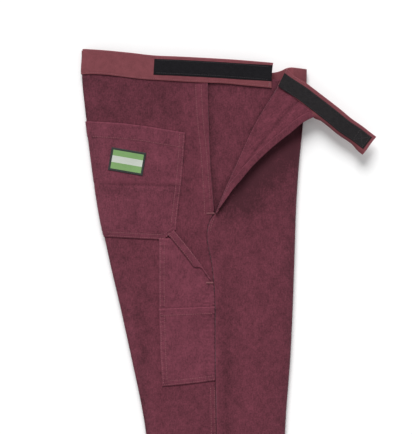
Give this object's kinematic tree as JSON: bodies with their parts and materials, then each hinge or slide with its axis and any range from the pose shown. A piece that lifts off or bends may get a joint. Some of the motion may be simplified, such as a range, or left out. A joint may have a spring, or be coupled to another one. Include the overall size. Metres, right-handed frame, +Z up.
{
  "type": "work trousers",
  "caption": "Corduroy work trousers laid flat in profile, with patch pockets and a hook-and-loop waist tab on a side opening.",
  "frame": {"origin": "bottom centre of the bounding box, on the surface that the garment lies on", "axes": "+X towards the centre front, +Y towards the waist, +Z up out of the surface, with the right leg on top"},
  "size_m": [0.476, 1.0358, 0.0281],
  "materials": {
    "corduroy": "brushed needlecord, matt with a soft sheen along the ribs",
    "pocket_corduroy": "brushed needlecord, slightly worn",
    "twill": "matt cotton twill",
    "hook_tape": "woven nylon hook tape, matt",
    "loop_tape": "napped nylon loop tape, matt",
    "lining": "plain woven cotton",
    "label": "woven satin label",
    "thread": "dense polyester thread"
  },
  "bodies": {
    "trousers": {"right_back_panel": "corduroy", "right_front_panel": "corduroy", "left_back_panel": "corduroy", "left_front_panel": "corduroy", "underlap": "corduroy", "right_back_pocket": "pocket_corduroy", "left_back_pocket": "pocket_corduroy", "tool_pocket_upper": "pocket_corduroy", "tool_pocket_lower": "pocket_corduroy", "tool_pocket_binding": "pocket_corduroy", "back_waistband": "twill", "front_waistband": "twill", "left_waistband": "twill", "back_loop_tape": "loop_tape", "right_outer_hem": "lining", "right_inner_hem": "lining", "left_inner_hem": "lining", "left_outer_hem": "lining", "placket_facing": "lining", "back_interfacing": "lining", "front_interfacing": "lining", "left_interfacing": "lining", "label_patch": "label", "slit_bartack": "thread", "tool_pocket_bartack": "thread"},
    "side_flap": {"side_flap": "corduroy", "flap_facing": "lining", "flap_waistband": "twill", "flap_interfacing": "lining", "flap_hook_tape": "hook_tape"},
    "waist_tab": {"tab_waistband": "twill", "tab_interfacing": "lining", "tab_hook_tape": "hook_tape"}
  },
  "joints": [
    {"name": "side_flap_fold", "type": "hinge", "parent": "trousers", "child": "side_flap", "pos_m": [0.07745, 0.47393, 0.02535], "axis": [-0.385, -0.9229, 0], "range_deg": [0, 179]},
    {"name": "waist_tab_bend", "type": "hinge", "parent": "side_flap", "child": "waist_tab", "pos_m": [0.1475, 0.42017, 0.0233], "axis": [0.6088, 0.7934, 0], "range_deg": [0, 10]}
  ]
}
